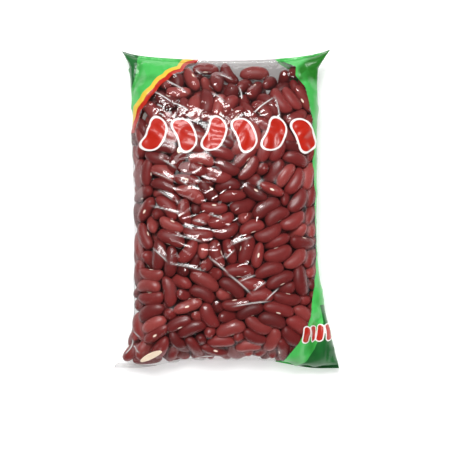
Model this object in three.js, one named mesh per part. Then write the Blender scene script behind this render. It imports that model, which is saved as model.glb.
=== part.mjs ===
// A half-kilogram pillow bag of dried kidney beans, lying on its back with the printed face up.
// Millimetres. X runs across the bag, Y from the bottom seal to the top seal, Z up from the table.
// The film hugs the beans, so the bag is one closed skin with the outermost beans as low relief.
import * as THREE from "three";

// Driving dimensions
const BAG_LENGTH = 199; // bottom corner to top corner
const FRONT_RISE = 22; // from the plane of the seals up to the crown of the front
const BACK_DROP = 17; // from the plane of the seals down to the back, before it flattens on the table
const SEAL_PLANE_HEIGHT = 16; // over the table at mid-length
const TOP_SEAL_HEIGHT = 12;
const BOTTOM_SEAL_HEIGHT = 10;
const SEAL_WIDTH = 2; // the narrow welded fin along each end
const SEAL_THICKNESS = 0.9;
const SECTION_POWER = 2.7; // 2 is an ellipse, larger is boxier

// Each side: half the width at its waist, where the waist is along the length, and how far
// the side stands out again at the far end
const SIDES = {
  left: { waistHalfWidth: 55.4, waistAlong: 0.42, bow: 4.6 },
  right: { waistHalfWidth: 56, waistAlong: 0.52, bow: 1.8 },
};

// How far each end edge is pulled in between its corners by the filling
const TOP_EDGE_DIP = 6.2;
const BOTTOM_EDGE_DIP = 5;

// The distance over which the film closes down to each seal, and the roundness of that shoulder
const TOP_TAPER = { length: 54, power: 1.7 };
const BOTTOM_TAPER = { length: 28, power: 2.2 };

// Corners: how far each ear stands out of the side, the length that it takes up and the curve of its
// outline, how far its tip curls up or down, and its crease, from a place on the seal to one on the
// side, both measured from the corner, with the share of the thickness that the crease takes away
const EARS = [
  { side: -1, end: 1, reach: 5.5, length: 10.5, power: 1.2, curl: -4, seal: 15, edge: 27, depth: 0.5 },
  { side: 1, end: 1, reach: 7.5, length: 11.5, power: 1, curl: 5, seal: 20, edge: 20, depth: 0.45 },
  { side: -1, end: -1, reach: 12.6, length: 23.5, power: 0.9, curl: -3, seal: 27, edge: 24, depth: 0.2 },
  { side: 1, end: -1, reach: 13.3, length: 80, power: 1.7, curl: -3, seal: 22, edge: 30, depth: 0.45 },
];
const CREASE_WIDTH = 4;
const CURL_LENGTH = 28; // how far from the end the curl of an ear begins

// Beans
const BEAN_LENGTH = 17;
const BEAN_BREADTH = 8.4;
const BEAN_RELIEF = 2.2; // how far a bean lifts the film above the hollow beside it
const BEAN_ROW_PITCH = 7.4;
const BEAN_COLUMN_PITCH = 12.6;
const BEAN_JITTER = 1.8;
const RELIEF_FADE = 10; // the relief dies away over this distance from the seals
const RELIEF_MARGIN = 5;

// Mesh
const COLUMNS = 42;
const ROWS = 58;
const END_CROWDING = 0.6; // draws the rows together towards both seals, 0 for even rows

const halfLength = BAG_LENGTH / 2;
const halfWidth = (SIDES.left.waistHalfWidth + SIDES.right.waistHalfWidth) / 2;

const clamp01 = (x) => Math.min(Math.max(x, 0), 1);
const mix = (a, b, t) => a + (b - a) * t;
const smooth = (low, high, x) => {
  const t = clamp01((x - low) / (high - low));
  return t * t * (3 - 2 * t);
};
const signedPower = (x, power) => Math.sign(x) * Math.abs(x) ** power;

// A repeatable random number from 0 to 1 for each seed
function randomFrom(seed) {
  const x = Math.sin(seed * 127.1 + 11.7) * 43758.5453;
  return x - Math.floor(x);
}

// One sheet of film in cross-section, from side to side over a rounded box of the given height
class SheetSection extends THREE.Curve {
  constructor(height) {
    super();
    this.height = height;
  }
  getPoint(t, target = new THREE.Vector3()) {
    const angle = Math.PI * (1 - t);
    return target.set(
      halfWidth * signedPower(Math.cos(angle), 2 / SECTION_POWER),
      0,
      this.height * Math.sin(angle) ** (2 / SECTION_POWER),
    );
  }
}
const frontSheet = new SheetSection(FRONT_RISE);
const backSheet = new SheetSection(BACK_DROP);
const sheetWidth = frontSheet.getLength();

// The side of the body bows out a little towards its ends, and the ears stand out beyond it
function sideEdge(sign, y) {
  const side = sign < 0 ? SIDES.left : SIDES.right;
  const waist = BAG_LENGTH * side.waistAlong - halfLength;
  const reachOfBow = halfLength + Math.abs(waist);
  let edge = side.waistHalfWidth + side.bow * ((y - waist) / reachOfBow) ** 2;
  for (const ear of EARS) {
    if (ear.side !== sign) continue;
    const fromEnd = halfLength - y * ear.end;
    edge += ear.reach * Math.max(0, 1 - fromEnd / ear.length) ** ear.power;
  }
  return edge;
}

// The end edges at q from -1 to 1 across the bag, drawn in between their corners
function topEdge(q) {
  const towardsCorner = 0.6 * q ** 2 + 0.4 * q ** 8;
  return halfLength - TOP_EDGE_DIP * (1 - towardsCorner);
}
function bottomEdge(q) {
  return -halfLength + BOTTOM_EDGE_DIP * (1 - smooth(0.3, 0.85, Math.abs(q)));
}

// 0 at a seal and 1 where the bag has its full thickness, rising like a quarter of an oval
function swell(fromEnd, taper) {
  const x = clamp01((fromEnd - SEAL_WIDTH) / taper.length);
  return (1 - (1 - x) ** taper.power) ** (1 / taper.power);
}

// The share of its thickness that the bag keeps in the creases of the ears, 1 away from them
function pinch(x, y) {
  let kept = 1;
  for (const ear of EARS) {
    const tip = sideEdge(ear.side, ear.end * halfLength);
    const atEdge = new THREE.Vector2(halfWidth + 1, halfLength - ear.edge);
    const run = new THREE.Vector2(tip - ear.seal, halfLength - SEAL_WIDTH).sub(atEdge);
    const from = new THREE.Vector2(x * ear.side, y * ear.end).sub(atEdge);
    const across = from.cross(run) / run.length();
    const onward = from.dot(run) / run.lengthSq();
    const reached = smooth(-0.5, 0.1, onward) * (1 - smooth(0.9, 1.4, onward));
    kept *= 1 - ear.depth * reached * Math.exp(-((across / CREASE_WIDTH) ** 2));
  }
  return kept;
}

// The height of the plane that the seals lie in, with the curl of the four corners
function sealPlane(q, y) {
  const nearBottom = 1 - smooth(-halfLength, -halfLength / 3, y);
  const nearTop = smooth(halfLength / 3, halfLength, y);
  let height = SEAL_PLANE_HEIGHT;
  height += (BOTTOM_SEAL_HEIGHT - SEAL_PLANE_HEIGHT) * nearBottom;
  height += (TOP_SEAL_HEIGHT - SEAL_PLANE_HEIGHT) * nearTop;
  for (const ear of EARS) {
    const fromEnd = halfLength - y * ear.end;
    height += ear.curl * smooth(0.55, 1, q * ear.side) * (1 - smooth(0, CURL_LENGTH, fromEnd));
  }
  return height;
}

// Beans laid in staggered rows on one sheet, each turned and shifted by its own random numbers
function layBeans(seedOffset) {
  const beans = [];
  const columns = Math.ceil(sheetWidth / BEAN_COLUMN_PITCH);
  const rows = Math.floor((BAG_LENGTH - 2 * RELIEF_MARGIN) / BEAN_ROW_PITCH);
  for (let row = 0; row <= rows; row++) {
    for (let column = 0; column <= columns; column++) {
      const seed = seedOffset + row * (columns + 1) + column;
      const shift = (k) => BEAN_JITTER * (2 * randomFrom(seed * 5 + k) - 1);
      beans.push({
        across: (column + (row % 2) / 2) * BEAN_COLUMN_PITCH - sheetWidth / 2 + shift(1),
        y: RELIEF_MARGIN - halfLength + row * BEAN_ROW_PITCH + shift(2),
        turn: Math.PI * randomFrom(seed * 5 + 3),
        lift: mix(0.6, 1, randomFrom(seed * 5 + 4)),
      });
    }
  }
  return beans;
}
const frontBeans = layBeans(0);
const backBeans = layBeans(1000);

// How far the beans lift the film at a place across the sheet and along the bag
function beanRelief(beans, across, y) {
  let lift = 0;
  for (const bean of beans) {
    const dx = across - bean.across;
    const dy = y - bean.y;
    if (Math.abs(dx) > BEAN_LENGTH || Math.abs(dy) > BEAN_LENGTH) continue;
    const alongBean = (dx * Math.cos(bean.turn) + dy * Math.sin(bean.turn)) / (BEAN_LENGTH / 2);
    const acrossBean = (dy * Math.cos(bean.turn) - dx * Math.sin(bean.turn)) / (BEAN_BREADTH / 2);
    const inside = 1 - alongBean * alongBean - acrossBean * acrossBean;
    if (inside > 0) lift = Math.max(lift, bean.lift * Math.sqrt(inside));
  }
  const fromSeal = halfLength - Math.abs(y) - RELIEF_MARGIN;
  return BEAN_RELIEF * lift * smooth(0, RELIEF_FADE, fromSeal);
}

// The skin's point at a share of the way across one sheet and a share of the length
function skinPoint(isFront, share, along) {
  const up = isFront ? 1 : -1;
  const height = isFront ? FRONT_RISE : BACK_DROP;
  const ring = (isFront ? frontSheet : backSheet).getPointAt(share);
  const q = ring.x / halfWidth;
  const y = mix(bottomEdge(q), topEdge(q), along);
  const flatY = mix(-halfLength, halfLength, along);
  const x = q * sideEdge(q < 0 ? -1 : 1, flatY);
  const shoulder = swell(halfLength + flatY, BOTTOM_TAPER) * swell(halfLength - flatY, TOP_TAPER);
  const fill = shoulder * pinch(x, y);
  const beans = isFront ? frontBeans : backBeans;
  const edgeFade = smooth(0, 0.06, share) * smooth(0, 0.06, 1 - share);
  const relief = beanRelief(beans, (share - 0.5) * sheetWidth, y) * smooth(0.35, 0.85, fill) * edgeFade;
  const outward = new THREE.Vector2(
    signedPower(q, SECTION_POWER - 1) / halfWidth,
    (ring.z / height) ** (SECTION_POWER - 1) / height,
  ).normalize();
  const rise = ring.z * fill + SEAL_THICKNESS / 2 + relief * outward.y;
  return [x + relief * outward.x, y, Math.max(sealPlane(q, flatY) + up * rise, 0)];
}

// A closed box of film, a front and a back sheet joined by a rim as thick as the seals,
// with its every point moved onto the skin
function bagGeometry() {
  const geometry = new THREE.BoxGeometry(1, 1, 1, COLUMNS, ROWS, 1);
  const position = geometry.getAttribute("position");
  for (let i = 0; i < position.count; i++) {
    const even = position.getY(i) + 0.5;
    const along = even - (END_CROWDING / (2 * Math.PI)) * Math.sin(2 * Math.PI * even);
    const isFront = position.getZ(i) > 0;
    position.setXYZ(i, ...skinPoint(isFront, clamp01(position.getX(i) + 0.5), along));
  }
  geometry.computeBoundingBox();
  const { min, max } = geometry.boundingBox;
  geometry.translate(-(min.x + max.x) / 2, -(min.y + max.y) / 2, -min.z);
  geometry.computeVertexNormals();
  return geometry;
}

const filledBag = new THREE.Mesh(
  bagGeometry(),
  new THREE.MeshStandardMaterial({ color: 0x7d2f33, roughness: 0.3, metalness: 0 }),
);
filledBag.name = "filled_bag";

const bag = new THREE.Group();
bag.add(filledBag);

export default bag;
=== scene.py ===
"""A half-kilogram pillow bag of dried kidney beans, lying on a pale table and seen from above.

Lengths are in millimetres until a mesh, light or camera is made, which is in metres. X runs across the bag,
Y from the bottom seal to the top seal, and Z up from the table, as in the frame.
"""
import math

import bpy
import numpy as np
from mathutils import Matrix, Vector
from mathutils.bvhtree import BVHTree


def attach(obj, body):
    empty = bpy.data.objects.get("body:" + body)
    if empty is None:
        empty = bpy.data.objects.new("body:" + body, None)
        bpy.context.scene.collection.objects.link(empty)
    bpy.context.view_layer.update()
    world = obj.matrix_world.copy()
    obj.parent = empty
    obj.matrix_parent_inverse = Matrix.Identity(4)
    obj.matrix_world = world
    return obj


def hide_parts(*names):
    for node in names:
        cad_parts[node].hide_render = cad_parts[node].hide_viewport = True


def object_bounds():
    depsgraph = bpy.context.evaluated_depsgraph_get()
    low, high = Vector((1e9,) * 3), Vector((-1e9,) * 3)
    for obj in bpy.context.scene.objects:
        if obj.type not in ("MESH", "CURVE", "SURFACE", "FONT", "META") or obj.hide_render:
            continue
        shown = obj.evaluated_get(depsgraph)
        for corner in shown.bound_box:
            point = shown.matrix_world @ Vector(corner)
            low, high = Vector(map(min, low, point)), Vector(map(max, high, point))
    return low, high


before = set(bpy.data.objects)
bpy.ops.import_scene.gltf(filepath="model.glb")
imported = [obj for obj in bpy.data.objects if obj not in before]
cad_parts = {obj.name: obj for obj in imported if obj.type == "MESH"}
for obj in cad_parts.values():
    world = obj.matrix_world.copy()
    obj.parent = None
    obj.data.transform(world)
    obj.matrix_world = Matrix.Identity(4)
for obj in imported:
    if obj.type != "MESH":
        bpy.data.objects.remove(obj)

CAD_LOW, CAD_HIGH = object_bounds()
MM = 0.001
NODE = "filled_bag"

# The bag's form, as the solid in the frame has it
BAG_LENGTH = (CAD_HIGH.y - CAD_LOW.y) / MM
HALF_LENGTH = BAG_LENGTH / 2
FRONT_RISE = 22
BACK_DROP = 17
SEAL_PLANE_HEIGHT = 16
TOP_SEAL_HEIGHT = 12
BOTTOM_SEAL_HEIGHT = 10
SEAL_WIDTH = 2
SECTION_POWER = 2.7
LEFT_SIDE = {"waist_half_width": 55.4, "waist_along": 0.42, "bow": 4.6}
RIGHT_SIDE = {"waist_half_width": 56, "waist_along": 0.52, "bow": 1.8}
HALF_WIDTH = (LEFT_SIDE["waist_half_width"] + RIGHT_SIDE["waist_half_width"]) / 2
TOP_EDGE_DIP = 6.2
BOTTOM_EDGE_DIP = 5
TOP_TAPER = {"length": 54, "power": 1.7}
BOTTOM_TAPER = {"length": 28, "power": 2.2}
EAR_FACTS = ("side", "end", "reach", "length", "power", "curl", "seal", "edge", "depth")
EARS = [
    dict(zip(EAR_FACTS, values))
    for values in (
        (-1, 1, 5.5, 10.5, 1.2, -4, 15, 27, 0.5),
        (1, 1, 7.5, 11.5, 1, 5, 20, 20, 0.45),
        (-1, -1, 12.6, 23.5, 0.9, -3, 27, 24, 0.2),
        (1, -1, 13.3, 80, 1.7, -3, 22, 30, 0.45),
    )
]
CREASE_WIDTH = 4
CURL_LENGTH = 28
FILM_GAP = 0.3  # between the two sheets where they are welded
TABLE_CLEARANCE = 0.7  # of the back sheet over the table, which leaves room for the back seam

# Camera
PICTURE_WIDTH = 282.5  # at the height of the two seals
CAMERA_DISTANCE = 1000
CAMERA_AIM = (0.1, -10.3)
CAMERA_LEVEL = 11  # the height over the table where the picture has its stated width

# Beans
BEAN_COUNT = 600
BEAN_LENGTH = 18.3
BEAN_WIDTH = 9.2
BEAN_THICKNESS = 7.8
BEAN_SIZES = (0.9, 1.08)  # the smallest and the largest bean, as shares of the stated size
BEAN_RINGS = 12
BEAN_SEGMENTS = 16
PACKING_RADIUS = 4.1
PACKING_STEPS = 340
PACKING_LOW = (-66, -97, 1)  # the box that the beans start in
PACKING_HIGH = (66, 94, 39)
PUSH_SHARE = 0.7  # of an overlap, taken out in each step
LONGEST_MOVE = 3  # of a ball in one step
OUTWARD_DRIFT = 0.22  # of the beans near the film in each step, while they are being packed
DRIFT_DEPTH = 14
END_DRIFT = 0.6  # of the beans towards the nearer seal, as a share of their outward drift
END_ZONE = 50  # how far from the middle that reaches its full strength
BOTTOM_SHARE = 0.15  # of it at the bottom seal
PRESS = 1.5  # how far the beans press out of the envelope, and at its two sides
LEFT_PRESS = 1.9
RIGHT_PRESS = 0.8
SETTLE_SLACK = 0.3  # how much further one corner of a bean may stand out
BEAN_LIFT = TABLE_CLEARANCE + 0.2  # of the lowest bean over the table
END_MARGIN = 0.8  # between the beans and the end edges
BOTTOM_INSET = 1  # the beans press into the inner half of the bottom weld
END_SQUEEZE = 0.7  # the share of a ball's radius that needs room where the film closes down


def smooth(low, high, x):
    t = np.clip((x - low) / (high - low), 0, 1)
    return t * t * (3 - 2 * t)


def mix(a, b, t):
    return a + (b - a) * t


def unit(vectors):
    return vectors / np.maximum(np.linalg.norm(vectors, axis=-1, keepdims=True), 1e-9)


def place(name, data):
    piece = bpy.data.objects.new(name, data)
    bpy.context.scene.collection.objects.link(piece)
    return piece


def make_camera():
    """The camera, straight above the printed face."""
    data = bpy.data.cameras.new("camera")
    data.sensor_width = 36
    data.lens = data.sensor_width * CAMERA_DISTANCE / PICTURE_WIDTH
    data.clip_start = 0.05
    data.clip_end = 10
    camera = place("camera", data)
    camera.location = Vector((*CAMERA_AIM, CAMERA_DISTANCE + CAMERA_LEVEL)) * MM
    bpy.context.scene.camera = camera


make_camera()


# The envelope: the bag's skin without the beans' relief
def side_edge(sign, y):
    edge = np.zeros(np.broadcast(sign, y).shape)
    for side, s in ((LEFT_SIDE, -1), (RIGHT_SIDE, 1)):
        waist = BAG_LENGTH * side["waist_along"] - HALF_LENGTH
        bow = side["bow"] * ((y - waist) / (HALF_LENGTH + abs(waist))) ** 2
        edge = np.where(sign == s, side["waist_half_width"] + bow, edge)
    for ear in EARS:
        from_end = HALF_LENGTH - y * ear["end"]
        out = ear["reach"] * np.maximum(0, 1 - from_end / ear["length"]) ** ear["power"]
        edge = edge + np.where(sign == ear["side"], out, 0)
    return edge


def top_edge(q):
    return HALF_LENGTH - TOP_EDGE_DIP * (1 - 0.6 * q**2 - 0.4 * q**8)


def bottom_edge(q):
    return -HALF_LENGTH + BOTTOM_EDGE_DIP * (1 - smooth(0.3, 0.85, np.abs(q)))


def swell(from_end, taper):
    x = np.clip((from_end - SEAL_WIDTH) / taper["length"], 0, 1)
    return (1 - (1 - x) ** taper["power"]) ** (1 / taper["power"])


def pinch(x, y):
    kept = np.ones(np.shape(x))
    for ear in EARS:
        tip = side_edge(ear["side"], ear["end"] * HALF_LENGTH)
        at_edge = np.array([HALF_WIDTH + 1, HALF_LENGTH - ear["edge"]])
        run = np.array([tip - ear["seal"], HALF_LENGTH - SEAL_WIDTH]) - at_edge
        from_x = x * ear["side"] - at_edge[0]
        from_y = y * ear["end"] - at_edge[1]
        length = np.hypot(*run)
        across = (from_x * run[1] - from_y * run[0]) / length
        onward = (from_x * run[0] + from_y * run[1]) / length**2
        reached = smooth(-0.5, 0.1, onward) * (1 - smooth(0.9, 1.4, onward))
        kept = kept * (1 - ear["depth"] * reached * np.exp(-((across / CREASE_WIDTH) ** 2)))
    return kept


def seal_plane(q, y):
    near_bottom = 1 - smooth(-HALF_LENGTH, -HALF_LENGTH / 3, y)
    near_top = smooth(HALF_LENGTH / 3, HALF_LENGTH, y)
    height = SEAL_PLANE_HEIGHT + (BOTTOM_SEAL_HEIGHT - SEAL_PLANE_HEIGHT) * near_bottom
    height = height + (TOP_SEAL_HEIGHT - SEAL_PLANE_HEIGHT) * near_top
    for ear in EARS:
        from_end = HALF_LENGTH - y * ear["end"]
        towards_side = smooth(0.55, 1, q * ear["side"])
        height = height + ear["curl"] * towards_side * (1 - smooth(0, CURL_LENGTH, from_end))
    return height


def fill_share(x, y, flat_y):
    shoulder = swell(HALF_LENGTH + flat_y, BOTTOM_TAPER) * swell(HALF_LENGTH - flat_y, TOP_TAPER)
    return shoulder * pinch(x, y)


def section(share, height):
    """Where a share of the way across one sheet, by its arc length, lies in the cross-section."""
    angle = np.pi * (1 - np.linspace(0, 1, 721))
    x = HALF_WIDTH * np.sign(np.cos(angle)) * np.abs(np.cos(angle)) ** (2 / SECTION_POWER)
    z = height * np.maximum(np.sin(angle), 0) ** (2 / SECTION_POWER)
    arc = np.concatenate([[0], np.cumsum(np.hypot(np.diff(x), np.diff(z)))])
    return np.interp(share * arc[-1], arc, x), np.interp(share * arc[-1], arc, z)


def sheet_points(share, along, front):
    """Points of the front or the back sheet of the envelope."""
    ring_x, ring_z = section(share, FRONT_RISE if front else BACK_DROP)
    q = ring_x / HALF_WIDTH
    y = mix(bottom_edge(q), top_edge(q), along)
    flat_y = mix(-HALF_LENGTH, HALF_LENGTH, along)
    x = q * side_edge(np.where(q < 0, -1, 1), flat_y)
    rise = ring_z * fill_share(x, y, flat_y) + FILM_GAP / 2
    z = seal_plane(q, flat_y) + (rise if front else -rise)
    return np.stack([x, y, np.maximum(z, TABLE_CLEARANCE)], axis=-1)


def inside_measure(points):
    """Under 1 inside the envelope, 1 on it and over 1 outside."""
    x, y, z = points.T
    sign = np.where(x < 0, -1, 1)
    along = (y + HALF_LENGTH) / BAG_LENGTH
    for _ in range(2):
        flat_y = mix(-HALF_LENGTH, HALF_LENGTH, np.clip(along, 0, 1))
        q = np.clip(x / side_edge(sign, flat_y), -1.3, 1.3)
        low, high = bottom_edge(q), top_edge(q)
        along = (y - low) / (high - low)
    outside_end = np.maximum(0, np.maximum(-along, along - 1)) * BAG_LENGTH / 4
    fill = np.maximum(fill_share(x, y, flat_y), 0.03)
    up = z - seal_plane(q, flat_y)
    level = up / (np.where(up > 0, FRONT_RISE, BACK_DROP) * fill)
    return (np.abs(q) ** SECTION_POWER + np.abs(level) ** SECTION_POWER) ** (1 / SECTION_POWER) + outside_end


def wall(points):
    """The distance in from the envelope, roughly, and the inward direction."""
    step = 0.4
    here = inside_measure(points)
    slope = np.stack(
        [inside_measure(points + step * axis) - inside_measure(points - step * axis) for axis in np.eye(3)],
        axis=-1,
    ) / (2 * step)
    steepness = np.maximum(np.linalg.norm(slope, axis=-1), 1e-6)
    return (1 - here) / steepness, -slope / steepness[:, None]


# The empty stretch of film under the top seal, which the loose beans keep out of
EMPTY_FILM = {"left": 1, "right": 46, "fade": 8, "depth": 13}
# Beans that lie where the photograph shows them: centre, direction in the plane of the face and
# rise out of it
PLACED_BEANS = [
    {"at": (17.8, 84.3, 14.5), "turn": 0, "rise": 0},
    {"at": (36, 83.5, 14), "turn": 85, "rise": 48},
    {"at": (-12.5, 91, 12.6), "turn": -3, "rise": 0},
    {"at": (2, 85.5, 13.2), "turn": -55, "rise": 0},
    {"at": (-57.5, -87.5, 10.5), "turn": 48, "rise": 0},
    {"at": (-49, -92.8, 10.2), "turn": 6, "rise": 0},
]


def touching_balls(centres):
    """The pairs of balls that belong to neighbouring beans."""
    gap = np.linalg.norm(centres[:, None] - centres[None], axis=-1)
    first, second = np.nonzero(np.triu(gap < BEAN_LENGTH * 1.15, 1))
    one, other = np.meshgrid(np.arange(3), np.arange(3), indexing="ij")
    ball_a = first[:, None] * 3 + one.ravel()
    ball_b = second[:, None] * 3 + other.ravel()
    return ball_a.ravel(), ball_b.ravel()


def push_apart(balls, radius, ball_a, ball_b):
    between = balls[ball_b] - balls[ball_a]
    distance = np.maximum(np.linalg.norm(between, axis=1), 1e-6)
    overlap = np.maximum(radius[ball_a] + radius[ball_b] - distance, 0)
    push = between * (0.5 * overlap / distance)[:, None]
    touched = overlap > 0
    moves = np.zeros_like(balls)
    for axis in range(3):
        moves[:, axis] -= np.bincount(ball_a[touched], push[touched, axis], len(balls))
        moves[:, axis] += np.bincount(ball_b[touched], push[touched, axis], len(balls))
    return balls + PUSH_SHARE * moves


def press_out(points):
    x = points[..., 0]
    at_side = np.where(x < 0, LEFT_PRESS, RIGHT_PRESS)
    return mix(PRESS, at_side, smooth(0.72, 0.95, np.abs(x) / HALF_WIDTH))


def end_excess(points, reach):
    """How far a ball of some reach has to move along the bag to fit where the film closes to each end."""
    reach = END_SQUEEZE * reach
    x, y, z = points[..., 0], points[..., 1], points[..., 2]
    q = np.clip(x / side_edge(np.where(x < 0, -1, 1), y), -0.97, 0.97)
    off = z - seal_plane(q, y)
    roundness = (1 - np.abs(q) ** SECTION_POWER) ** (1 / SECTION_POWER)
    height = np.where(off > 0, FRONT_RISE, BACK_DROP) * roundness
    share = np.clip((np.abs(off) + reach - 1) / height, 0, 0.97)
    move = np.zeros(x.shape)
    for end, edge, taper in ((1, top_edge(q), TOP_TAPER), (-1, bottom_edge(q), BOTTOM_TAPER)):
        inset = SEAL_WIDTH if end > 0 else BOTTOM_INSET
        needed = inset + taper["length"] * (1 - (1 - share ** taper["power"]) ** (1 / taper["power"]))
        lacking = np.maximum(needed, END_MARGIN) + reach - end * (edge - y)
        move = move - end * np.clip(lacking, 0, 8)
    return move


def keep_inside(balls, radius, drift):
    """Draws balls outward to the film by the drift, and back where they press out of it too far."""
    depth, inward = wall(balls)
    near = 1 - smooth(DRIFT_DEPTH / 2, DRIFT_DEPTH, depth)
    balls = balls - inward * (drift * near)[:, None]
    balls = balls + inward * np.clip(radius - press_out(balls) - depth, 0, LONGEST_MOVE)[:, None]
    left, right, fade = EMPTY_FILM["left"], EMPTY_FILM["right"], EMPTY_FILM["fade"]
    in_gap = smooth(left, left + fade, balls[:, 0]) * (1 - smooth(right - fade, right, balls[:, 0]))
    pull = (1 - in_gap) * smooth(0, END_ZONE, balls[:, 1])
    pull = pull - BOTTOM_SHARE * smooth(0, END_ZONE, -balls[:, 1])
    balls[:, 1] += drift / OUTWARD_DRIFT * END_DRIFT * pull
    highest = top_edge(balls[:, 0] / HALF_WIDTH) - radius - EMPTY_FILM["depth"] * in_gap
    balls[:, 1] -= np.clip(balls[:, 1] - highest, 0, LONGEST_MOVE)
    balls[:, 1] += np.clip(end_excess(balls, radius), -LONGEST_MOVE / 2, LONGEST_MOVE / 2)
    balls[:, 2] += np.clip(BEAN_LIFT + radius - balls[:, 2], 0, LONGEST_MOVE)
    return balls


def pack_beans(rng):
    """Random beans pushed apart until they fill the bag. Each is three balls in a row."""
    spacing = (BEAN_LENGTH - 2 * PACKING_RADIUS) / 2
    tried = rng.uniform(PACKING_LOW, PACKING_HIGH, (BEAN_COUNT * 12, 3))
    centres = tried[inside_measure(tried) < 0.9][:BEAN_COUNT]
    directions = unit(rng.normal(size=(len(centres), 3)) * [1, 1, 0.5])
    size = rng.uniform(*BEAN_SIZES, len(centres))
    placed = len(PLACED_BEANS)
    for i, bean in enumerate(PLACED_BEANS):
        turn, rise = math.radians(bean["turn"]), math.radians(bean["rise"])
        centres[i] = bean["at"]
        directions[i] = (math.cos(turn) * math.cos(rise), math.sin(turn) * math.cos(rise), math.sin(rise))
    fixed_centres, fixed_directions = centres[:placed].copy(), directions[:placed].copy()
    offsets = np.array([-1, 0, 1])[None, :, None] * (spacing * size)[:, None, None]
    radius = np.repeat(PACKING_RADIUS * size, 3)
    for step in range(PACKING_STEPS):
        if step % 10 == 0:
            ball_a, ball_b = touching_balls(centres)
        balls = (centres[:, None] + directions[:, None] * offsets).reshape(-1, 3)
        balls = push_apart(balls, radius, ball_a, ball_b)
        drift = OUTWARD_DRIFT * (1 - smooth(0.5, 0.75, step / PACKING_STEPS))
        balls = keep_inside(balls, radius, drift).reshape(-1, 3, 3)
        centres = balls.mean(1)
        directions = unit(balls[:, 2] - balls[:, 0])
        centres[:placed], directions[:placed] = fixed_centres, fixed_directions
    return centres, directions, size


def settle(points):
    """Moves whole beans in from the film, the table and the ends where a corner of one still sticks out."""
    for _ in range(3):
        count, corners = points.shape[:2]
        depth, inward = wall(points.reshape(-1, 3))
        depth = depth.reshape(count, corners) + press_out(points) + SETTLE_SLACK
        worst = depth.argmin(1)
        pick = np.arange(count)
        too_far = np.clip(-depth[pick, worst], 0, LONGEST_MOVE)
        points = points + (inward.reshape(count, corners, 3)[pick, worst] * too_far[:, None])[:, None]
        move = end_excess(points, 0)
        points[..., 1] += (move.max(1) + move.min(1))[:, None]
        points[..., 2] += np.clip(BEAN_LIFT - points[..., 2].min(1), 0, 2 * LONGEST_MOVE)[:, None]
    return points


def bean_shapes(rng, centres, directions, size):
    """The points of every bean, and where each one lies on its bean."""
    count = len(centres)
    outward = -wall(centres)[1]
    flat = unit(outward - (outward * directions).sum(1, keepdims=True) * directions)
    sideways = np.cross(flat, directions)
    roll = rng.normal(0, 0.7, count)
    roll[: len(PLACED_BEANS)] = 0
    flip = rng.choice([-1, 1], count)
    thick_axis = flat * np.cos(roll)[:, None] + sideways * np.sin(roll)[:, None]
    wide_axis = np.cross(thick_axis, directions) * flip[:, None]
    around = np.linspace(0, 2 * np.pi, BEAN_SEGMENTS, endpoint=False)
    lengthwise = np.pi * np.arange(1, BEAN_RINGS + 1) / (BEAN_RINGS + 1)
    blunt = 0.86  # under 1 for fuller ends
    axial = -np.sign(np.cos(lengthwise)) * np.abs(np.cos(lengthwise)) ** blunt
    girth = np.sin(lengthwise) ** blunt
    ring = [
        np.repeat(axial, BEAN_SEGMENTS),
        np.outer(girth, np.cos(around)).ravel(),
        np.outer(girth, np.sin(around)).ravel(),
    ]
    u, v, w = np.hstack([[[-1], [0], [0]], ring, [[1], [0], [0]]])
    length = BEAN_LENGTH * size * rng.uniform(0.92, 1.06, count)
    width = BEAN_WIDTH * size * rng.uniform(0.93, 1.07, count)
    thickness = BEAN_THICKNESS * size * rng.uniform(0.93, 1.07, count)
    bend = rng.uniform(0.9, 2.0, count)
    lean = rng.normal(0, 0.06, count)
    along = u * length[:, None] / 2
    fatter_end = 1 + lean[:, None] * u
    dent_depth, dent_length = 0.5, 0.28
    dent = dent_depth * np.exp(-((u / dent_length) ** 2)) * np.clip(-v, 0, 1) ** 2
    across = v * width[:, None] / 2 * fatter_end + bend[:, None] * (0.45 - u**2) + dent
    deep = w * thickness[:, None] / 2 * fatter_end
    points = centres[:, None] + along[..., None] * directions[:, None]
    points = points + across[..., None] * wide_axis[:, None] + deep[..., None] * thick_axis[:, None]
    local = np.stack([along, v + 0 * along, deep], axis=-1)
    return settle(points), local


def closed_faces(rings, segments):
    """The triangles of a closed shape: its first point, its rings of points and its last point."""
    faces = []
    last = 1 + rings * segments
    for s in range(segments):
        n = (s + 1) % segments
        faces.append((0, 1 + s, 1 + n))
        for r in range(rings - 1):
            low = 1 + r * segments
            high = low + segments
            faces.append((low + s, high + s, high + n))
            faces.append((low + s, high + n, low + n))
        top = last - segments
        faces.append((top + s, last, top + n))
    return np.array(faces)


def grid_faces(grid):
    """Two triangles for each cell of a grid of point numbers."""
    a, b, c, d = grid[:-1, :-1], grid[1:, :-1], grid[1:, 1:], grid[:-1, 1:]
    halves = [np.stack([a, b, c], -1), np.stack([a, c, d], -1)]
    return np.concatenate([half.reshape(-1, 3) for half in halves])


def make_mesh(name, points, faces, material, attributes):
    """A smooth-shaded piece that rides on the bag's one body."""
    mesh = bpy.data.meshes.new(name)
    mesh.vertices.add(len(points))
    mesh.vertices.foreach_set("co", (np.asarray(points) * MM).astype(np.float32).ravel())
    mesh.loops.add(faces.size)
    mesh.loops.foreach_set("vertex_index", faces.astype(np.int32).ravel())
    mesh.polygons.add(len(faces))
    mesh.polygons.foreach_set("loop_start", np.arange(0, faces.size, faces.shape[1], dtype=np.int32))
    mesh.update(calc_edges=True)
    mesh.shade_smooth()
    for key, values in attributes.items():
        kind, field = ("FLOAT", "value") if values.ndim == 1 else ("FLOAT_VECTOR", "vector")
        layer = mesh.attributes.new(key, kind, "POINT")
        layer.data.foreach_set(field, values.astype(np.float32).ravel())
    mesh.materials.append(material)
    piece = place(name, mesh)
    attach(piece, "root")
    return piece


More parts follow.
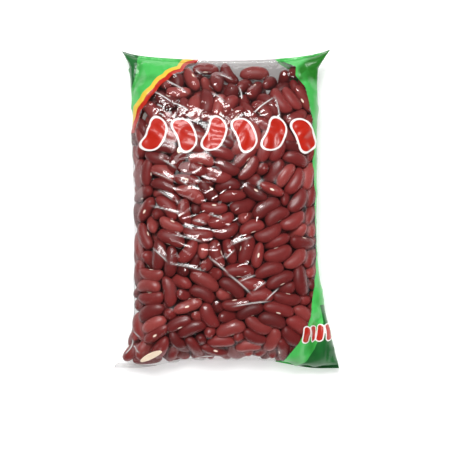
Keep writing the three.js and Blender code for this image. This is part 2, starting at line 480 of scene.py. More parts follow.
# Materials
def srgb(red, green, blue):
    """A colour stated as 0 to 255 display values, as a linear one."""
    values = [c / 255 for c in (red, green, blue)]
    return (*[c / 12.92 if c <= 0.04045 else ((c + 0.055) / 1.055) ** 2.4 for c in values], 1)


def new_material(name):
    material = bpy.data.materials.new(name)
    material.use_nodes = True
    material.node_tree.nodes.clear()
    return material, material.node_tree.nodes


def add(nodes, kind, sockets, **properties):
    """A shader node. Each socket named gets a value, or a link from another node's output."""
    node = nodes.new("ShaderNode" + kind)
    for key, value in properties.items():
        setattr(node, key, value)
    for key, value in sockets.items():
        if isinstance(value, bpy.types.NodeSocket):
            node.id_data.links.new(value, node.inputs[key])
        else:
            node.inputs[key].default_value = value
    return node


def attribute(nodes, name, output="Fac"):
    return add(nodes, "Attribute", {}, attribute_name=name).outputs[output]


def calculate(nodes, operation, *values, clamp=False):
    return add(nodes, "Math", dict(enumerate(values)), operation=operation, use_clamp=clamp).outputs[0]


def map_range(nodes, value, limits):
    return add(nodes, "MapRange", {"Value": value, **limits}).outputs[0]


def mix_colours(nodes, share, first, second):
    return add(nodes, "Mix", {0: share, 6: first, 7: second}, data_type="RGBA").outputs[2]


def object_noise(nodes, **sockets):
    """Noise that stays fixed to the object."""
    where = add(nodes, "TexCoord", {}).outputs["Object"]
    return add(nodes, "TexNoise", {"Vector": where, **sockets}).outputs["Fac"]


def bump(nodes, height, strength, distance):
    return add(nodes, "Bump", {"Height": height, "Strength": strength, "Distance": distance}).outputs[0]


def show(nodes, kind, sockets):
    """The last shader of a material and its output."""
    add(nodes, "OutputMaterial", {0: add(nodes, kind, sockets).outputs[0]})


def bean_material(name, dark, light):
    """Mottled skin with a pale scar. Each bean has its own tone."""
    material, nodes = new_material(name)
    mottle = object_noise(nodes, Scale=260, Detail=3, Roughness=0.6)
    mottle_share = 0.55
    tone = calculate(nodes, "SUBTRACT", attribute(nodes, "tone"), 0.27)  # about half the mottle's share
    tone = calculate(nodes, "MULTIPLY_ADD", mottle, mottle_share, tone)
    skin = mix_colours(nodes, tone, dark, light)
    colour = mix_colours(nodes, hilum_mask(nodes), skin, srgb(244, 224, 206))
    relief = bump(nodes, mottle, 0.25, 0.0004)
    sockets = {"Base Color": colour, "Roughness": 0.45, "Specular IOR Level": 0.4, "Normal": relief}
    show(nodes, "BsdfPrincipled", sockets)
    return material


def hilum_mask(nodes):
    """1 on the small oval scar in the middle of the bean's hollow side."""
    half_length, half_width = 1.5, 0.62
    along, across, deep = add(nodes, "SeparateXYZ", {0: attribute(nodes, "local", "Vector")}).outputs
    squares = []
    for distance, half in ((along, half_length), (deep, half_width)):
        term = calculate(nodes, "DIVIDE", distance, half)
        squares.append(calculate(nodes, "MULTIPLY", term, term))
    total = calculate(nodes, "ADD", *squares)
    oval = map_range(nodes, total, {"From Min": 1.15, "From Max": 0.75})
    hollow = calculate(nodes, "LESS_THAN", across, -0.3)
    return calculate(nodes, "MULTIPLY", oval, hollow)


FILM_TINT = (0.98, 0.98, 0.98, 1)
HAZE_COLOUR = (0.4, 0.38, 0.375, 1)
# the haze's colour along fold ridges: partly stress whitening, partly a painted highlight
RIDGE_WHITE_AND_HIGHLIGHT = (0.95, 0.93, 0.92, 1)
FILM_ROUGHNESS = {"From Max": 0.6, "To Min": 0.38, "To Max": 0.07}  # from tight film to slack
TIGHT_SHINE = {"From Max": 0.5, "To Min": 0.4}  # the share of its gloss that tight film keeps
TWO_FACES = 1.8  # what both faces of the film mirror, as a multiple of one
MOST_GLOSS = 0.12


def film_material():
    """Clear film: light passes straight through. It has a gloss that rises towards grazing, sharp where the
    film hangs slack, and a grey haze where it is crinkled or doubled. The haze is whiter on the ridge
    of a fold, partly stress whitening and partly a painted highlight; along the left edge it is a
    painted reflection."""
    material, nodes = new_material("clear_film")
    slack = attribute(nodes, "slack")
    clear = add(nodes, "BsdfTransparent", {"Color": FILM_TINT}).outputs[0]
    # the ridge fact whitens the haze: partly stress whitening, partly a painted highlight
    milk = mix_colours(nodes, attribute(nodes, "ridge"), HAZE_COLOUR, RIDGE_WHITE_AND_HIGHLIGHT)
    scatter = add(nodes, "BsdfDiffuse", {"Color": milk}).outputs[0]
    hazy = add(nodes, "MixShader", {0: attribute(nodes, "haze"), 1: clear, 2: scatter}).outputs[0]
    gloss = add(nodes, "BsdfGlossy", {"Roughness": map_range(nodes, slack, FILM_ROUGHNESS)}).outputs[0]
    fresnel = add(nodes, "Fresnel", {"IOR": 1.5}).outputs[0]
    mirrored = calculate(nodes, "MINIMUM", calculate(nodes, "MULTIPLY", fresnel, TWO_FACES), MOST_GLOSS)
    shine = calculate(nodes, "MULTIPLY", mirrored, map_range(nodes, slack, TIGHT_SHINE))
    show(nodes, "MixShader", {0: shine, 1: hazy, 2: gloss})
    return material


def print_material(name, colour, deeper_and_shaded):
    """Glossy ink, a little uneven, darker in the welds and near the upper right edge; the darker blotches
    on the folded top-right ear are painted shade.
    """
    material, nodes = new_material(name)
    cloud = object_noise(nodes, Scale=45, Detail=2)
    spread = map_range(nodes, cloud, {"From Min": 0.28, "From Max": 0.48})
    # the "deep" fact darkens the ink in the welds and paints shade on the top-right ear
    lightness = calculate(nodes, "SUBTRACT", spread, attribute(nodes, "deep"), clamp=True)
    ink = mix_colours(nodes, lightness, deeper_and_shaded, colour)
    sockets = {"Base Color": ink, "Roughness": 0.45, "Specular IOR Level": 0.25}
    show(nodes, "BsdfPrincipled", {**sockets, "Coat Weight": 0.45, "Coat Roughness": 0.12})
    return material


# The darkest and the lightest tone of each kind of bean, and the share of each kind
BEAN_LOOKS = {
    "dark_beans": ((86, 23, 23), (120, 37, 36)),
    "red_beans": ((97, 25, 25), (133, 46, 44)),
    "rosy_beans": ((113, 34, 33), (150, 64, 60)),
}
BEAN_SHARES = (0.3, 0.42, 0.28)


def make_beans():
    """One piece for each kind of bean. Returns the points and the triangles of them all."""
    rng = np.random.default_rng(11)
    centres, directions, size = pack_beans(rng)
    points, local = bean_shapes(rng, centres, directions, size)
    kind = rng.choice(3, len(centres), p=BEAN_SHARES)
    tone = rng.uniform(0, 1, len(centres))
    per_bean = points.shape[1]
    every = closed_faces(BEAN_RINGS, BEAN_SEGMENTS) + per_bean * np.arange(len(centres))[:, None, None]
    for k, (name, (dark, light)) in enumerate(BEAN_LOOKS.items()):
        chosen = kind == k
        faces = every[: chosen.sum()].reshape(-1, 3)
        material = bean_material(name, srgb(*dark), srgb(*light))
        facts = {"tone": np.repeat(tone[chosen], per_bean), "local": local[chosen].reshape(-1, 3)}
        make_mesh(name, points[chosen].reshape(-1, 3), faces, material, facts)
    return points.reshape(-1, 3), every.reshape(-1, 3)


# Halves of split beans that lie on the others, pale side up: centre and direction in the plane of the
# face, how far the half leans over its long side, and its size
SPLIT_BEANS = [
    {"at": (-45.9, -90.3), "turn": 27, "lean": 18, "length": 16.8, "width": 4.0, "thickness": 2.4},
    {"at": (-28.4, 35.6), "turn": 70, "lean": 10, "length": 4.2, "width": 2.8, "thickness": 1.2},
]
STEEPEST_SEAT = 0.45  # slope of a half along its middle
SPLIT_BOW = 0.06  # how far a half bends, as a share of its width
SPLIT_RISE = 0.1  # how far it stands off the beans, as a share of its thickness


def split_bean_material():
    material, nodes = new_material("split_bean")
    grain = object_noise(nodes, Scale=420, Detail=4, Roughness=0.6)
    colour = mix_colours(nodes, grain, srgb(234, 208, 180), srgb(248, 232, 210))
    sockets = {"Base Color": colour, "Roughness": 0.7, "Normal": bump(nodes, grain, 0.4, 0.0003)}
    show(nodes, "BsdfPrincipled", sockets)
    return material


def seat(tree, bean, turn):
    """The slope and the height at which one half rests on the beans under it, looked up along its middle."""
    offsets = np.linspace(-0.45, 0.45, 9) * bean["length"]
    heights = []
    for offset in offsets:
        x = bean["at"][0] + offset * math.cos(turn)
        y = bean["at"][1] + offset * math.sin(turn)
        heights.append(tree.ray_cast(Vector((x, y, 60)), Vector((0, 0, -1)))[0].z)
    slope = np.clip(np.polyfit(offsets, heights, 1)[0], -STEEPEST_SEAT, STEEPEST_SEAT)
    return slope, max(heights - slope * offsets)


def make_split_beans(tree, rings=14, segments=28):
    """Low domed halves, laid on the topmost beans at their places."""
    around = np.linspace(0, 2 * np.pi, segments, endpoint=False)
    rim = np.linspace(0, 1, rings + 1)[1:]
    radius = np.concatenate([rim, rim[::-1][1:]])
    is_top = np.arange(len(radius)) < rings
    depth = np.where(is_top, 0.5 + 0.06 * radius**2, 0.5 - np.sqrt(np.maximum(1 - radius**2, 0)))
    depth[rings - 1] = 0.45
    points, faces = [], []
    for bean in SPLIT_BEANS:
        length, width, thickness = bean["length"], bean["width"], bean["thickness"]
        turn, lean = math.radians(bean["turn"]), math.radians(bean["lean"])
        slope, height = seat(tree, bean, turn)
        lengthwise = unit(np.array([math.cos(turn), math.sin(turn), slope]))
        level = np.array([-math.sin(turn), math.cos(turn), 0])
        crosswise = level * math.cos(lean) + np.cross(lengthwise, level) * math.sin(lean)
        upward = np.cross(lengthwise, crosswise)
        bow = SPLIT_BOW * width
        a = radius[:, None] * np.cos(around) * length / 2
        b = radius[:, None] * np.sin(around) * width / 2 + bow * (1 - (2 * a / length) ** 2)
        c = depth[:, None] * thickness + 0 * a
        rings_of_points = np.stack([a, b, c], axis=-1).reshape(-1, 3)
        local = np.vstack([[0, bow, thickness / 2], rings_of_points, [0, bow, -thickness / 2]])
        centre = np.array([*bean["at"], height + SPLIT_RISE * thickness])
        faces.append(len(points) + closed_faces(len(radius), segments))
        points.extend(centre + local @ np.stack([lengthwise, crosswise, upward]))
    points, faces = np.array(points), np.concatenate(faces)
    make_mesh("split_beans", points, faces, split_bean_material(), {})
    return points, faces


# Film
FRONT_COLUMNS = 230
BACK_COLUMNS = 170
FILM_ROWS = 360
END_CROWDING = 0.35
FILM_REACH = 12  # how far outside the envelope beans are looked for, and how far in
FILM_DEPTH = 7
FILM_CLEARANCE = 0.15
FILM_HUG = 0.02  # how hard tight film is drawn into the hollows in each step
FILM_LIFT = 0.25  # of the slackest film off the beans
FILM_STEPS = 260
BRIDGE_STEPS = 90  # how far slack film evens out over the beans, and its rise over their mean height
BRIDGE_LIFT = 0.9
WELD_WIDTH = 1.8
BACK_SLACK = 0.3
FILM_FACTS = ("haze", "slack", "deep", "ridge")  # what the materials read of the film at each point


def value_noise(rng, x, y):
    """Smooth noise from 0 to 1 with a cell of one unit."""
    size = 64
    table = rng.random((size, size))
    cell_x, cell_y = np.floor(x).astype(int), np.floor(y).astype(int)
    part_x, part_y = x - cell_x, y - cell_y
    part_x, part_y = smooth(0, 1, part_x), smooth(0, 1, part_y)
    corner = [table[(cell_x + i) % size, (cell_y + j) % size] for i in (0, 1) for j in (0, 1)]
    return mix(mix(corner[0], corner[1], part_y), mix(corner[2], corner[3], part_y), part_x)


FOLD_STEEPNESS = 0.78  # the true height of a fold, as a share of its stated rise
FOLD_BOW = 0.1  # how far a fold bends, as a share of its length
RIDGE_WIDTH = 0.4  # of the white line along the top of a fold, partly stress whitening and partly a painted highlight
# Folds in the slack film that catch the light: the two ends of each, its rise and the width of its
# upper slope
FOLDS = [
    (-37.5, 31.5, -29.5, 26.5, 0.7, 2.6), (-43, 24, -31, 18.5, 0.75, 2.4),
    (-27.5, 19, -22.5, 15.5, 0.55, 1.9), (-39.5, 12.5, -31, 7, 0.7, 2.4),
    (-44.5, 3, -26.5, -2, 0.45, 1.3), (-9, -2, -1, -5, 0.65, 2.1),
    (-19, -6, -12, -8, 0.42, 1.3), (-25.5, -9, -19, -11.5, 0.6, 1.6),
    (-32, -14, -14.5, -18, 0.9, 2.3), (3, -20, 14.7, -15.5, 1.2, 2.6),
    (-42, -23, -34, -31, 0.95, 2.8), (-1, -29, 4, -24, 1.1, 2.6),
    (-33, -32, -13.5, -36, 0.7, 1.6), (-9, -29, 2, -38, 0.6, 1.3),
    (2, -38, 16, -50, 0.9, 2.0), (8, -42, 17, -38.5, 1.15, 3),
    (23, -54, 30.5, -47, 1.3, 3), (4.5, -57.5, 25.5, -54.5, 0.9, 2.2),
    (16, -48, 23, -43, 0.95, 2.6), (9, 75.5, 11, 68, 0.7, 1.6),
    (16, 59.5, 28.5, 69, 0.9, 2.0), (30.5, 69, 34, 55, 0.5, 1.0),
    (-18, 86.5, -15, 84, 0.7, 1.8), (-4, 84, 4, 81, 0.6, 1.4),
    (-33, 66, -22, 61, 0.5, 1.3), (-37.3, 80.2, -23.3, 71.9, 0.45, 0.9),
    (-43.4, 72.3, -33.4, 66.5, 0.45, 0.9), (-34, 84.4, -29.8, 81.6, 0.45, 0.9),
    (-41.5, 64.8, -38, 63.2, 0.7, 1.8), (-40.5, 59.4, -37, 57.9, 0.7, 1.8),
    (-49.5, 87, -47.2, 80.5, 0.5, 1.0), (-8, 72, 0, 66, 0.6, 1.4),
    (-59, -83.5, -53, -88, 0.4, 1.0), (-64, -90, -58, -80, 0.3, 0.9),
    (-22, -92.3, -6, -89, 0.4, 0.9), (-57, -74, -52, -79, 0.4, 1.0),
]


def fold_shape(x, y):
    """The height of the folds over the face, and how white the film is along their ridges, partly stress
    whitening and partly a painted highlight. Each fold is a tent with an even slope on its two sides."""
    height = np.zeros(np.shape(x))
    whitened_and_highlight = np.zeros(np.shape(x))
    for start_x, start_y, end_x, end_y, rise, width in FOLDS:
        run_x, run_y = end_x - start_x, end_y - start_y
        length = math.hypot(run_x, run_y)
        onward = ((x - start_x) * run_x + (y - start_y) * run_y) / length**2
        off = ((y - start_y) * run_x - (x - start_x) * run_y) / length
        off = off * math.copysign(1, run_x) + width / 2
        off = off + FOLD_BOW * length * (np.clip(onward, 0, 1) - 0.5) ** 2
        taper = smooth(-0.15, 0.25, onward) * (1 - smooth(0.75, 1.15, onward))
        tent = np.maximum(0, 1.06 - np.sqrt((off / width) ** 2 + 0.004))
        height = np.maximum(height, rise * FOLD_STEEPNESS * taper * tent)
        # the white line along each ridge: partly stress whitening, partly a painted highlight
        whitened_and_highlight = np.maximum(whitened_and_highlight, taper * np.exp(-((off / RIDGE_WIDTH) ** 2)))
    return height, whitened_and_highlight


def ridge(noise, sharpness):
    return np.maximum(0, 1 - np.abs(2 * noise - 1) * sharpness)


# The film hangs slack along a slant over the upper left of the face, and under the top seal
SLACK_CENTRE = (-7, -12)
SLACK_HALF_LENGTH = 62
SLACK_HALF_WIDTH = 30
SLACK_PEAK = 1.3
TOP_SLACK = 0.65


def slackness(x, y):
    """How loosely the film lies over the beans, from 0 where it is tight to 1."""
    from_x, from_y = x - SLACK_CENTRE[0], y - SLACK_CENTRE[1]
    along = (0.6 * from_x - 0.8 * from_y) / SLACK_HALF_LENGTH
    across = (0.8 * from_x + 0.6 * from_y) / SLACK_HALF_WIDTH
    slant = SLACK_PEAK * np.exp(-(along**2) - across**2) * (1 - 0.4 * smooth(25, 45, y))
    return np.clip(slant + TOP_SLACK * smooth(42, 64, y), 0, 1)


LONG_CREASE = 0.38
SHORT_CREASE = 0.26


def crease_height(x, y):
    """Fine creases that wander over the film, lower towards the top."""
    rng = np.random.default_rng(5)
    bend_x = 9 * (value_noise(rng, x / 21, y / 17) - 0.5)
    bend_y = 12 * (value_noise(rng, x / 26, y / 19) - 0.5)
    long_noise = value_noise(rng, (0.9 * x - 0.43 * y + bend_x) / 15, (0.9 * y + 0.43 * x + bend_y) / 6.5)
    short_noise = value_noise(rng, (x + y + bend_y) / 7.5, (y - 0.6 * x + bend_x) / 5.5)
    creases = LONG_CREASE * ridge(long_noise, 2.6) + SHORT_CREASE * ridge(short_noise, 2.6)
    return creases * (1.3 - 0.6 * smooth(-30, 40, y))


WIDE_CRINKLE = 0.18
FINE_CRINKLE = 0.05


def crinkle_height(x, y):
    """Small sharp crinkles, about two to four millimetres across."""
    rng = np.random.default_rng(17)
    wide = value_noise(rng, (x + 0.5 * y) / 3.6, (y - 0.4 * x) / 2.8)
    fine = value_noise(rng, (x - 0.7 * y) / 2.0, (y + 0.6 * x) / 2.4)
    return WIDE_CRINKLE * ridge(wide, 1.8) + FINE_CRINKLE * ridge(fine, 1.6)


def gather_height(x, from_end):
    """The small pleats that run in from the welds."""
    rng = np.random.default_rng(8)
    pleat = value_noise(rng, x / 2.6, from_end / 30) + 0.6 * value_noise(rng, x / 1.3, from_end / 14)
    return 0.5 * (pleat - 0.8) * smooth(1, 4, from_end) * (1 - smooth(8, 22, from_end))


def film_tube():
    """The envelope as a closed tube of points, and the way out at each. The front sheet runs from left to
    right, then the back sheet from right to left."""
    even = np.linspace(0, 1, FILM_ROWS + 1)
    along = even - END_CROWDING / (2 * np.pi) * np.sin(2 * np.pi * even)
    front_share = np.linspace(0, 1, FRONT_COLUMNS + 1)
    back_share = np.linspace(1, 0, BACK_COLUMNS + 1)
    front = sheet_points(*np.meshgrid(front_share, along, indexing="ij"), True)
    back = sheet_points(*np.meshgrid(back_share, along, indexing="ij"), False)
    tube = np.concatenate([front, back[1:-1]])
    tube[FRONT_COLUMNS] = (front[-1] + back[0]) / 2
    tube[0] = (front[0] + back[-1]) / 2
    around = np.roll(tube, -1, axis=0) - np.roll(tube, 1, axis=0)
    onward = np.gradient(tube, axis=1)
    return tube, unit(np.cross(around, onward))


def bean_height(tube, normal, bean_tree):
    """How far the outermost bean stands over the envelope at each point of the tube."""
    height = np.full(tube.shape[:2], -FILM_DEPTH, float)
    for i in range(tube.shape[0]):
        for j in range(1, tube.shape[1] - 1):
            way_out = Vector(normal[i, j])
            start = Vector(tube[i, j]) + way_out * FILM_REACH
            distance = bean_tree.ray_cast(start, -way_out, FILM_REACH + FILM_DEPTH)[3]
            if distance is not None:
                height[i, j] = FILM_REACH - distance + FILM_CLEARANCE
    return height


def beside(film):
    """The mean of the four points around each one, away from the two ends."""
    return ((np.roll(film, 1, 0) + np.roll(film, -1, 0))[:, 1:-1] + film[:, :-2] + film[:, 2:]) / 4


def stretch_film(height, hug):
    """Draws the film over the beans like a skin, into the hollows where it hugs them."""
    film = np.maximum(height, 0)
    for _ in range(FILM_STEPS):
        film[:, 1:-1] = np.maximum(height[:, 1:-1], beside(film) - hug[:, 1:-1])
        film[:, :3] = 0
        film[:, -3:] = 0
    return film


def evened(film):
    """The film's height averaged over the few millimetres around each point."""
    level = film.copy()
    for _ in range(BRIDGE_STEPS):
        level[:, 1:-1] = beside(level)
    return level


# How milky the film is, from 0 to 1: what each place adds to it ("left" is a painted reflection)
HAZE = {"all": 0.002, "top": 0.006, "left": 0.3, "right": 0.05, "ridge": 0.7, "back": 0.04, "back_top": 0.8,
        "top_weld": 0.45, "bottom_weld": 0.6}


def film_haze(x, y, is_front, ridge_white_and_highlight, weld):
    # painted reflection: a whitish haze along the left edge stands in for the sheen of the bag's side
    left_edge_reflection = (1 - smooth(-57, -54.5, x)) * smooth(-82, -68, y)
    haze = HAZE["left"] * left_edge_reflection + HAZE["right"] * smooth(52, 57, x) + HAZE["ridge"] * ridge_white_and_highlight
    haze = haze + HAZE["all"] + HAZE["top"] * smooth(45, 70, y)
    near_top = 1 - smooth(15, 24, HALF_LENGTH - y)
    haze = haze + np.where(is_front, 0, HAZE["back"] + HAZE["back_top"] * near_top)
    bottom_weld = HAZE["bottom_weld"] - 0.35 * smooth(40, 55, np.abs(x))
    return haze + np.where(y > 0, HAZE["top_weld"], bottom_weld) * weld


def ink_depth_and_painted_shade(x, y, weld):
    """How much darker the ink is made: in the welds, a little near the right edge above the middle, and in
    blotches of painted shade under the fold line of the top-right ear.
    """
    shade_patches = value_noise(np.random.default_rng(3), (x + y) / 7, (x - y) / 3.5)
    # painted shade: below the fold line of the top-right ear the ink is darkened in crumpled blotches
    below_fold = 0.487 * (x - 47.6) - 0.874 * (y - 90.4)
    ear = smooth(-0.5, 1.5, below_fold) * smooth(43, 46, x) * smooth(77, 82, y)
    ear = ear * (0.7 + 0.7 * smooth(0.45, 0.9, shade_patches))
    return np.clip(ear + 0.3 * smooth(46, 54, x) * smooth(20, 50, y) + 0.8 * weld, 0, 1)


def film_grid(bean_tree):
    """The film's points, and for each its place in the plane of the face and its FILM_FACTS."""
    tube, normal = film_tube()
    x, y = tube[..., 0], tube[..., 1]
    is_front = (np.arange(len(tube)) <= FRONT_COLUMNS)[:, None]
    printed = smooth(-2, 2, np.maximum(corner_arc(x, y, 5), right_band(x, y, 0)))
    slack = np.where(is_front, slackness(x, y), BACK_SLACK)
    height = bean_height(tube, normal, bean_tree)
    face_on = smooth(0.25, 0.6, np.abs(normal[..., 2]))
    film = stretch_film(height, FILM_HUG * (1 - slack) * (1 - printed) * face_on)
    film = mix(film, np.maximum(film, evened(film) + BRIDGE_LIFT), slack * (1 - printed))
    from_end = HALF_LENGTH - np.abs(y)
    facing = np.maximum(smooth(0.2, 0.7, normal[..., 2]), np.where(is_front, 0, 0.3))
    near_top = smooth(42, 60, y)
    creases = crease_height(x, y) * mix(0.12, 1, slack) + crinkle_height(x, y) * mix(0.06, 1, near_top)
    folds, whitened_and_highlight = fold_shape(x, y)
    creases = creases + np.where(is_front, folds, 0) + FILM_LIFT * slack
    film = film + creases * smooth(3, 12, from_end) * facing * (1 - 0.35 * printed)
    film = film + gather_height(x, from_end)
    points = tube + normal * film[..., None]
    points[..., 2] = np.maximum(points[..., 2], TABLE_CLEARANCE)
    weld = 1 - smooth(WELD_WIDTH, WELD_WIDTH + 0.6, from_end)
    # white ridge lines on the front sheet: partly stress whitening, partly a painted highlight
    ridge_white_and_highlight = np.where(is_front, whitened_and_highlight, 0)
    haze = film_haze(x, y, is_front, ridge_white_and_highlight, weld)
    facts = np.stack([x, y, haze, slack + 0 * x, ink_depth_and_painted_shade(x, y, weld), ridge_white_and_highlight], axis=-1)
    return points, facts


def cut(mesh, level):
    """Splits every triangle that the level's zero line crosses. A mesh is points, their facts, faces and
    labels."""
    points, facts, faces, labels = mesh
    level = np.where(np.abs(level) < 1e-7, 1e-7, level)
    inside = level[faces] > 0
    count = inside.sum(1)
    crossed = (count == 1) | (count == 2)
    odd = np.where(count == 1, inside.argmax(1), (~inside).argmax(1))[crossed]
    rows = faces[crossed]
    pick = np.arange(len(rows))
    a, b, c = (rows[pick, (odd + k) % 3] for k in range(3))
    edges = np.sort(np.concatenate([np.stack([a, b], 1), np.stack([a, c], 1)]), axis=1)
    unique, index = np.unique(edges, axis=0, return_inverse=True)
    index = index.ravel()
    low, high = unique.T
    t = (level[low] / (level[low] - level[high]))[:, None]
    ab, ac = len(points) + index[: len(rows)], len(points) + index[len(rows) :]
    new_faces = np.concatenate(
        [faces[~crossed], np.stack([a, ab, ac], 1), np.stack([ab, b, c], 1), np.stack([ab, c, ac], 1)]
    )
    tip_inside = count[crossed] == 1
    new_inside = np.concatenate([count[~crossed] == 3, tip_inside, ~tip_inside, ~tip_inside])
    old = labels[crossed]
    new_labels = np.concatenate([labels[~crossed], old, old, old])
    new_points = np.concatenate([points, mix(points[low], points[high], t)])
    new_facts = np.concatenate([facts, mix(facts[low], facts[high], t)])
    return (new_points, new_facts, new_faces, new_labels), new_inside


# The row of bean shapes across the face, and the short row of small upright ones in the bottom-right corner
FACE_ROW = {"start": (-43, 45.5), "pitch": (18.2, 0), "count": 6, "tilt": 22,
            "core": 5.0, "radius": 4.9, "bend": 0.022}
FACE_OUTLINE = 1.25
CORNER_ROW = {"start": (49, -77), "pitch": (4.7, 0.3), "count": 4, "tilt": 6,
              "core": 3.3, "radius": 1.5, "bend": 0.02}
CORNER_OUTLINE = 0.7
# How much further in the arc of the top-left corner comes than an even curve: places along it, and how far
ARC_ALONG = [-21.4, -18.9, -16, -10.5, -7.2, -3.7, 0, 3.6, 7, 12.7, 20.3]
ARC_SHIFT = [1.5, 2.2, 2.4, 2.65, 2.3, 1.6, 1.4, 1.6, 1.3, 2.4, 1.3]
ARC_FOOT = 47  # the arc stops here
SCALLOP_PITCH = 10
# The inner edge of the right band: places along the bag, and how far across it lies at each
BAND_Y = [-94.4, -91.4, -87.3, -81.2, -71.9, -61.4, -53.1, -37.5, -19.4, 1.9, 31.2, 54.9, 59.6, 65.1, 70.5,
          74.9, 78.7, 82.7, 87.8, 90.6, 92.9, 95.0]
BAND_X = [34.1, 37.6, 41.1, 45.2, 49.7, 52.6, 53.9, 55.4, 55.7, 54.8, 53.8, 52.9, 52.2, 51.2, 49.8,
          48.8, 46.1, 43.0, 43.4, 38.6, 34.5, 33.5]
BACK_BAND_INSET = 3  # how much wider the band is on the back
# The edges of the two folded corners, in the same way
TOP_EAR_Y = [68, 73, 85, 95.2, 97]
TOP_EAR_X = [-57.9, -58.2, -56.1, -55.2, -52.6]
TOP_EAR_FOOT = 67
BOTTOM_EAR_Y = [-96.8, -94.9, -93.7, -86.2, -76, -69.7, -59]
BOTTOM_EAR_X = [38, 49.1, 50.7, 55.7, 59.4, 60.2, 57.7]
BOTTOM_EAR_HEAD = -59


# Print: each field is a level over the plan of the face, above zero inside the field
def corner_arc(x, y, inset):
    """The rounded top-left corner, drawn in by an inset, with the scallops of its stripes."""
    along = ((x + 42) + (y - 80)) / math.sqrt(2)
    across = ((y - 80.6) - (x + 44.7)) / math.sqrt(2)
    curve = 0.0042 * np.maximum(0, along + 5) ** 2 + 0.0183 * np.maximum(0, -along - 9) ** 2
    depth = 0.3 + 0.5 * smooth(6, 14, along)
    scallop = depth * (1 - 2 * np.abs(np.sin(np.pi * (along - 4.6) / SCALLOP_PITCH)))
    shift = np.interp(along, ARC_ALONG, ARC_SHIFT)
    return np.minimum(across + curve + shift + inset + scallop, y - ARC_FOOT)


def right_band(x, y, inset):
    """The band down the right side, with a notch under the top seal."""
    return x - (np.interp(y, BAND_Y, BAND_X) - inset)


def bean_row(x, y, row, grow):
    """Plain bean shapes that lean to and fro."""
    level = np.full(np.shape(x), -1e3)
    for k in range(row["count"]):
        turn = math.radians(90 - row["tilt"] * (-1) ** k)
        dx = x - (row["start"][0] + row["pitch"][0] * k)
        dy = y - (row["start"][1] + row["pitch"][1] * k)
        a = dx * math.cos(turn) + dy * math.sin(turn)
        b = dy * math.cos(turn) - dx * math.sin(turn)
        bent = b - row["bend"] * (a**2 - row["core"] ** 2)
        distance = np.hypot(np.maximum(np.abs(a) - row["core"], 0), bent)
        level = np.maximum(level, row["radius"] + grow - distance)
    return level


def ear_strip(x, y):
    """The top-left ear and the narrow side strip below it, whose dark green is painted shade."""
    return np.minimum(np.interp(y, TOP_EAR_Y, TOP_EAR_X) - x, y - TOP_EAR_FOOT)


def ear_fold(x, y):
    """The part of the bottom-right corner that is folded over, down to the weld, whose dark green is painted
    shade.
    """
    return np.minimum(x - np.interp(y, BOTTOM_EAR_Y, BOTTOM_EAR_X), BOTTOM_EAR_HEAD - y)


FRONT_FIELDS = [
    ("red_print", lambda x, y: bean_row(x, y, FACE_ROW, 0)),
    ("white_print", lambda x, y: bean_row(x, y, FACE_ROW, FACE_OUTLINE)),
    ("red_print", lambda x, y: bean_row(x, y, CORNER_ROW, 0)),
    ("white_print", lambda x, y: bean_row(x, y, CORNER_ROW, CORNER_OUTLINE)),
    # painted shade: the two folded ears are printed dark green where they turn away from the light
    ("dark_green_print", ear_strip),
    ("dark_green_print", ear_fold),
]
STRIPES = [("green_print", 0), ("yellow_print", 2.5), ("red_print", 5.2)]


def label_prints(mesh, front):
    """Cuts each field of print out of a sheet, the topmost first."""
    fields = list(FRONT_FIELDS) if front else []
    fields += [(name, lambda x, y, inset=inset: corner_arc(x, y, inset)) for name, inset in STRIPES]
    fields.append(("green_print", lambda x, y: right_band(x, y, 0 if front else BACK_BAND_INSET)))
    for name, level in fields:
        mesh, inside = cut(mesh, level(mesh[1][:, 0], mesh[1][:, 1]))
        points, facts, faces, labels = mesh
        mesh = (points, facts, faces, np.where(inside & (labels == "clear"), name, labels))
    return mesh


# Each ink, and its darker tone, which also gives the painted shade on the folded top-right ear
INKS = {
    "green_print": ((68, 177, 82), (34, 108, 30)),
    # a dark green that stands for painted shade on the folded ears
    "dark_green_print": ((26, 96, 40), (16, 72, 30)),
    "yellow_print": ((215, 181, 58), (205, 167, 45)),
    "red_print": ((172, 31, 15), (155, 26, 13)),
    "white_print": ((231, 224, 222), (216, 210, 208)),
}


def make_film(bean_tree):
    """The front and the back sheet, each cut into its clear part and its fields of print."""
    points, facts = film_grid(bean_tree)
    count, rows = points.shape[:2]
    index = np.arange(count * rows).reshape(count, rows)
    looks = {"clear": (film_material(), "clear_film")}
    for name, (colour, deeper_and_shaded) in INKS.items():
        looks[name] = (print_material(name, srgb(*colour), srgb(*deeper_and_shaded)), name)
    for front in (True, False):
        columns = np.arange(FRONT_COLUMNS + 1) if front else np.arange(FRONT_COLUMNS, count + 1) % count
        used, faces = np.unique(grid_faces(index[columns]), return_inverse=True)
        faces = faces.reshape(-1, 3)
        labels = np.full(len(faces), "clear", dtype="U20")
        mesh = (points.reshape(-1, 3)[used], facts.reshape(-1, facts.shape[-1])[used], faces, labels)
        sheet_points, sheet_facts, faces, labels = label_prints(mesh, front)
        for label, (material, slot) in looks.items():
            kept, chosen = np.unique(faces[labels == label], return_inverse=True)
            if len(kept) == 0:
                continue
            name = ("front_" if front else "back_") + label
            attributes = dict(zip(FILM_FACTS, sheet_facts[kept, 2:].T))
            chosen = chosen.reshape(-1, 3)
            make_mesh(name, sheet_points[kept], chosen, material, attributes)
    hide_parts(NODE)
    return points


# The back seam: the two sides of the film welded face to face and folded flat along the middle of the back
SEAM_CENTRE = -8
SEAM_WIDTH = 11
SEAM_COLUMNS = 14
SEAM_DROP = 0.32
SEAM_HAZE = 0.08
CRIMP_HEIGHT = 0.06
CRIMP_PITCH = 1.6


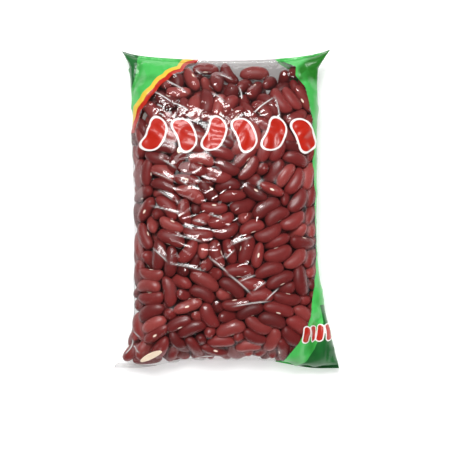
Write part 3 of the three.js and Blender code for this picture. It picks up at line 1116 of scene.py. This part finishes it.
def make_back_seam(points):
    """A flat strip just under the back sheet, with a crimped outer edge."""
    back = points[FRONT_COLUMNS:]
    across = np.linspace(-0.5, 0.5, SEAM_COLUMNS + 1)
    x = SEAM_CENTRE + SEAM_WIDTH * across
    strip = []
    for row in range(8, FILM_ROWS - 7):
        line = back[np.argsort(back[:, row, 0]), row]
        strip.append([x, np.interp(x, line[:, 0], line[:, 1]), np.interp(x, line[:, 0], line[:, 2])])
    strip = np.array(strip).transpose(2, 0, 1)
    free = smooth(9, 14, HALF_LENGTH - np.abs(strip[..., 1]))
    crimp = CRIMP_HEIGHT * np.sin(2 * np.pi * strip[..., 1] / CRIMP_PITCH) * free
    crimp = crimp * smooth(0.1, 0.2, across)[:, None]
    drop = SEAM_DROP * smooth(-0.5, -0.38, across)[:, None] * free + 0.05
    strip[..., 2] = np.maximum(strip[..., 2] - drop + crimp, 0.1)
    index = np.arange(strip.shape[0] * strip.shape[1]).reshape(strip.shape[:2])
    faces = grid_faces(index)[:, [0, 2, 1]]
    points = strip.reshape(-1, 3)
    haze = SEAM_HAZE * (1 - smooth(76, 84, np.abs(points[:, 1])))
    attributes = {"haze": haze, "slack": np.ones(len(points))}
    make_mesh("back_seam", points, faces, bpy.data.materials["clear_film"], attributes)


# Floor and lights
FLOOR_HALF = 3.0  # in metres
FLOOR_GLOW = 0.2  # a table lit from below, so that the floor beside the bag stays white
WORLD_COLOUR = (0.05, 0.05, 0.05, 1)
# Softboxes aimed at the middle of the bag: place, size and power, and whether the film's gloss mirrors them
LIGHTS = {
    "key": ((-0.14, 0.75, 0.86), (0.64, 0.36), 2.8, False),
    "overhead": ((0, 0.1, 1.6), (1.6, 1.6), 6.5, False),
    "fill": ((0.8, -0.9, 0.8), (1.0, 0.6), 12, False),
    "window": ((-0.26, 0.40, 1.1), (0.7, 0.5), 2.4, True),
    "lamp": ((-0.16, 0.5, 1.05), (0.6, 0.34), 9, True),
    "strip": ((-0.36, 0.78, 0.8), (0.3, 0.12), 1.2, True),
}


def make_stage():
    mesh = bpy.data.meshes.new("floor")
    corners = [(x * FLOOR_HALF, y * FLOOR_HALF, 0) for x, y in ((-1, -1), (1, -1), (1, 1), (-1, 1))]
    mesh.from_pydata(corners, [], [(0, 1, 2, 3)])
    floor = place("floor", mesh)
    material, nodes = new_material("floor")
    sockets = {"Base Color": (0.9, 0.9, 0.9, 1), "Roughness": 1, "Specular IOR Level": 0}
    glow = {"Emission Color": (1, 1, 1, 1), "Emission Strength": FLOOR_GLOW}
    show(nodes, "BsdfPrincipled", {**sockets, **glow})
    mesh.materials.append(material)
    world = bpy.data.worlds.new("world")
    world.use_nodes = True
    world.node_tree.nodes["Background"].inputs["Color"].default_value = WORLD_COLOUR
    bpy.context.scene.world = world
    bpy.context.scene.view_settings.view_transform = "Standard"


def make_lights():
    for name, (location, size, power, mirrored) in LIGHTS.items():
        data = bpy.data.lights.new(name, "AREA")
        data.shape = "RECTANGLE"
        data.size, data.size_y = size
        data.energy = power
        light = place(name, data)
        light.location = location
        light.visible_glossy = mirrored
        light.rotation_euler = (-light.location).to_track_quat("-Z", "Y").to_euler()


bean_points, bean_triangles = make_beans()
bean_tree = BVHTree.FromPolygons(bean_points.tolist(), bean_triangles.tolist())
split_points, split_triangles = make_split_beans(bean_tree)
every_point = np.concatenate([bean_points, split_points])
every_triangle = np.concatenate([bean_triangles, split_triangles + len(bean_points)])
film_points = make_film(BVHTree.FromPolygons(every_point.tolist(), every_triangle.tolist()))
make_back_seam(film_points)
make_stage()
make_lights()
